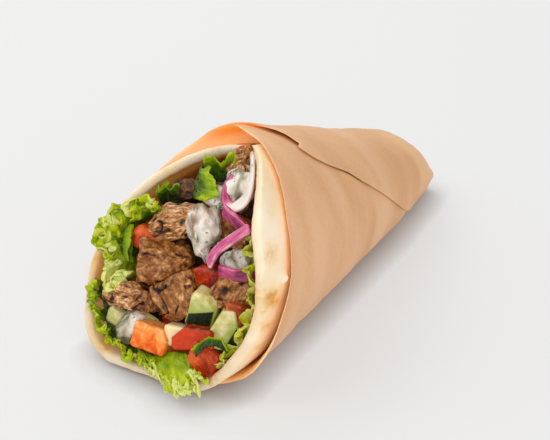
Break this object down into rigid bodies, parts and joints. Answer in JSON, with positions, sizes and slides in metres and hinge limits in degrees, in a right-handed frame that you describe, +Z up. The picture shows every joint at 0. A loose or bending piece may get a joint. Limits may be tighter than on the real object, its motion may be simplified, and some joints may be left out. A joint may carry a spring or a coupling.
{
  "type": "gyro wrap",
  "caption": "Beef gyro wrap: flatbread rolled to a cone round beef, tomato, cucumber, red onion, lettuce and yoghurt sauce, in a rolled paper sleeve, lying on its side.",
  "frame": {"origin": "on the plane that the wrap lies on, under the middle of its box", "axes": "+Z up, +Y along the wrap from its open mouth to its folded tail, +X to the side where the outer turn of paper faces"},
  "size_m": [0.0818, 0.1899, 0.0762],
  "materials": {
    "paper": "matt brown parchment paper, soft sheen",
    "flatbread": "soft floury wheat flatbread with toasted spots",
    "tomato": "wet cut tomato, glossy skin",
    "cucumber": "wet cut cucumber with dark green skin",
    "beef": "browned grilled beef, moist",
    "onion": "raw red onion slice, satin",
    "lettuce": "fresh frilly leaf, satin",
    "sauce": "thick creamy yoghurt sauce, wet",
    "filling": "packed chopped meat and salad, in shade"
  },
  "bodies": {
    "root": {"paper": "paper", "flatbread": "flatbread", "tomato_1": "tomato", "tomato_2": "tomato", "tomato_3": "tomato", "tomato_4": "tomato", "tomato_5": "tomato", "tomato_6": "tomato", "tomato_7": "tomato", "cucumber_1": "cucumber", "cucumber_2": "cucumber", "cucumber_3": "cucumber", "cucumber_4": "cucumber", "cucumber_5": "cucumber", "beef_1": "beef", "beef_2": "beef", "beef_3": "beef", "beef_4": "beef", "beef_5": "beef", "beef_6": "beef", "beef_7": "beef", "beef_8": "beef", "beef_9": "beef", "onion_1": "onion", "onion_2": "onion", "onion_3": "onion", "onion_4": "onion", "lettuce_1": "lettuce", "lettuce_2": "lettuce", "lettuce_3": "lettuce", "lettuce_4": "lettuce", "lettuce_5": "lettuce", "lettuce_6": "lettuce", "lettuce_7": "lettuce", "sauce_1": "sauce", "sauce_2": "sauce", "sauce_3": "sauce", "sauce_4": "sauce", "sauce_5": "sauce", "filling": "filling"}
  },
  "joints": []
}
